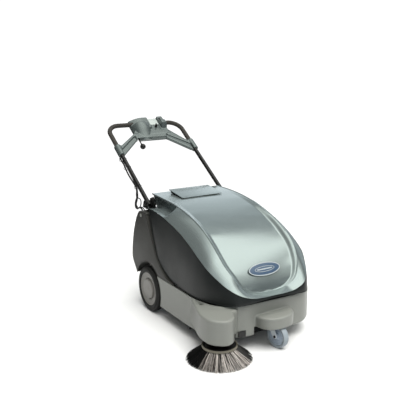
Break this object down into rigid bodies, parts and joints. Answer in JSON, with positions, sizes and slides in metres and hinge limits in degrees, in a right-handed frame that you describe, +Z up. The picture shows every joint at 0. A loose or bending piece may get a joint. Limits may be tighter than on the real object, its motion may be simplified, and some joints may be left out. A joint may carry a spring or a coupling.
{
  "type": "walk behind sweeper",
  "caption": "Battery walk-behind floor sweeper with a hinged hood, corner side brush, hidden main brush, rear wheels, front castor and a tilting push handle.",
  "frame": {"origin": "middle of the footprint, on the floor", "axes": "+Z up, -Y is the front of the machine with the side brush and castor, +X is the machine left-hand side"},
  "size_m": [0.7916, 1.6006, 0.9825],
  "materials": {
    "hood_plastic": "moulded blue-grey plastic with a fine texture",
    "skirt_plastic": "dark charcoal moulded plastic",
    "body_plastic": "warm grey rotomoulded plastic",
    "black_plastic": "black moulded plastic",
    "black_steel": "black powder-coated steel",
    "plated_steel": "zinc-plated steel",
    "rubber": "black rubber",
    "rear_tyre": "dark grey solid rubber tyre",
    "hub_plastic": "warm grey moulded plastic",
    "castor_rubber": "light grey non-marking rubber",
    "castor_plastic": "blue-grey plastic wheel",
    "grip_foam": "taupe ribbed grip",
    "console_plastic": "light grey moulded plastic",
    "display": "pale display panel",
    "badge": "slate-blue enamel oval",
    "bristle": "stiff black brush filament",
    "ring_plastic": "taupe moulded plastic",
    "battery_case": "black battery case",
    "orange_plastic": "orange filter frame",
    "filter_paper": "pleated filter paper"
  },
  "bodies": {
    "chassis": {"chassis_tub": "body_plastic", "rear_pillar_right": "body_plastic", "rear_pillar_left": "body_plastic", "rear_crossmember": "black_steel", "front_seal": "rubber", "side_seal_right": "rubber", "side_seal_left": "rubber", "chamber_seal": "rubber", "bumper_window": "black_plastic", "stub_axle_right": "plated_steel", "stub_axle_left": "plated_steel", "castor_plate": "plated_steel", "brush_motor": "black_steel", "drive_belt": "rubber", "battery_1": "battery_case", "battery_2": "battery_case", "motor_deck": "plated_steel", "fan_housing": "black_plastic", "fan_motor": "black_steel", "filter_frame": "orange_plastic", "filter_panel": "filter_paper", "filter_tray": "plated_steel", "handle_bracket_right": "black_steel", "handle_bracket_left": "black_steel", "cable_loop": "rubber"},
    "hood": {"hood_shell": "hood_plastic", "hood_skirt": "skirt_plastic", "exhaust_cowl": "hood_plastic", "badge_plate": "badge", "hinge_leaf_right": "black_steel", "hinge_leaf_left": "black_steel"},
    "wheel_right": {"tyre_right": "rear_tyre", "wheel_hub_right": "hub_plastic"},
    "wheel_left": {"tyre_left": "rear_tyre", "wheel_hub_left": "hub_plastic"},
    "castor_swivel": {"castor_fork": "plated_steel"},
    "castor_wheel": {"castor_tyre": "castor_rubber", "castor_hub": "castor_plastic"},
    "main_brush": {"main_brush_core": "black_plastic", "main_brush_bristles": "bristle"},
    "brush_motor_shaft": {"motor_pulley": "plated_steel"},
    "fan_wheel": {"fan_impeller": "plated_steel"},
    "side_brush_head": {"side_gearmotor": "black_steel"},
    "side_brush": {"side_brush_plate": "black_plastic", "side_brush_ring": "ring_plastic", "side_brush_bristles": "bristle"},
    "hopper": {"hopper_bin": "body_plastic", "hopper_handle": "black_plastic"},
    "handle": {"lower_tube_right": "black_steel", "lower_tube_left": "black_steel", "grip_loop": "grip_foam", "console_housing": "console_plastic", "display_panel": "display", "control_cable": "rubber"},
    "key": {"key_switch": "black_plastic"},
    "button": {"start_button": "black_plastic"},
    "lever": {"brush_lever": "black_plastic"},
    "knob_right": {"star_knob_right": "black_plastic"},
    "knob_left": {"star_knob_left": "black_plastic"}
  },
  "joints": [
    {"name": "hood_hinge", "type": "hinge", "parent": "chassis", "child": "hood", "pos_m": [0.06881, 0.19804, 0.6], "axis": [-1, 0, 0], "range_deg": [0, 65]},
    {"name": "handle_tilt", "type": "hinge", "parent": "chassis", "child": "handle", "pos_m": [0.06881, 0.19704, 0.572], "axis": [1, 0, 0], "range_deg": [-15, 60]},
    {"name": "wheel_right_spin", "type": "hinge", "parent": "chassis", "child": "wheel_right", "pos_m": [-0.23219, 0.07004, 0.125], "axis": [1, 0, 0], "continuous": true},
    {"name": "wheel_left_spin", "type": "hinge", "parent": "chassis", "child": "wheel_left", "pos_m": [0.36981, 0.07004, 0.125], "axis": [1, 0, 0], "continuous": true},
    {"name": "castor_turn", "type": "hinge", "parent": "chassis", "child": "castor_swivel", "pos_m": [0.06681, -0.64096, 0.13], "axis": [0, 0, 1], "continuous": true},
    {"name": "castor_spin", "type": "hinge", "parent": "castor_swivel", "child": "castor_wheel", "pos_m": [0.07306, -0.68047, 0.059], "axis": [0.9877, 0.1564, 0], "continuous": true},
    {"name": "main_brush_spin", "type": "hinge", "parent": "chassis", "child": "main_brush", "pos_m": [0.06881, -0.19196, 0.113], "axis": [1, 0, 0], "continuous": true},
    {"name": "motor_shaft_spin", "type": "hinge", "parent": "chassis", "child": "brush_motor_shaft", "pos_m": [0.06881, -0.19196, 0.3], "axis": [1, 0, 0], "continuous": true},
    {"name": "fan_spin", "type": "hinge", "parent": "chassis", "child": "fan_wheel", "pos_m": [0.00881, -0.19196, 0.33], "axis": [0, 1, 0], "continuous": true},
    {"name": "brush_lever_pull", "type": "hinge", "parent": "handle", "child": "lever", "pos_m": [-0.01719, 0.65663, 0.87046], "axis": [1, 0, 0], "range_deg": [0, 40.2]},
    {"name": "side_brush_lift", "type": "slide", "parent": "chassis", "child": "side_brush_head", "axis": [0, 0, 1], "range_m": [0, 0.02]},
    {"name": "side_brush_spin", "type": "hinge", "parent": "side_brush_head", "child": "side_brush", "pos_m": [-0.23519, -0.63996, 0.08], "axis": [0, 0, 1], "continuous": true},
    {"name": "hopper_slide", "type": "slide", "parent": "chassis", "child": "hopper", "axis": [0, 1, 0], "range_m": [0, 0.32]},
    {"name": "key_turn", "type": "hinge", "parent": "handle", "child": "key", "pos_m": [0.13281, 0.70889, 0.92586], "axis": [0, -0.5446, 0.8387], "range_deg": [0, 90]},
    {"name": "start_button_press", "type": "slide", "parent": "handle", "child": "button", "axis": [0, 0.5446, -0.8387], "range_m": [0, 0.0035], "stiffness_N_per_m": 250},
    {"name": "knob_right_turn", "type": "hinge", "parent": "chassis", "child": "knob_right", "pos_m": [-0.15219, 0.19704, 0.572], "axis": [1, 0, 0], "range_deg": [0, 270]},
    {"name": "knob_left_turn", "type": "hinge", "parent": "chassis", "child": "knob_left", "pos_m": [0.28981, 0.19704, 0.572], "axis": [-1, 0, 0], "range_deg": [0, 270]}
  ],
  "couplings": [
    {"joint": "motor_shaft_spin", "follows": "main_brush_spin", "ratio": 2},
    {"joint": "brush_lever_pull", "follows": "side_brush_lift", "rad_per_m": 34.907}
  ]
}
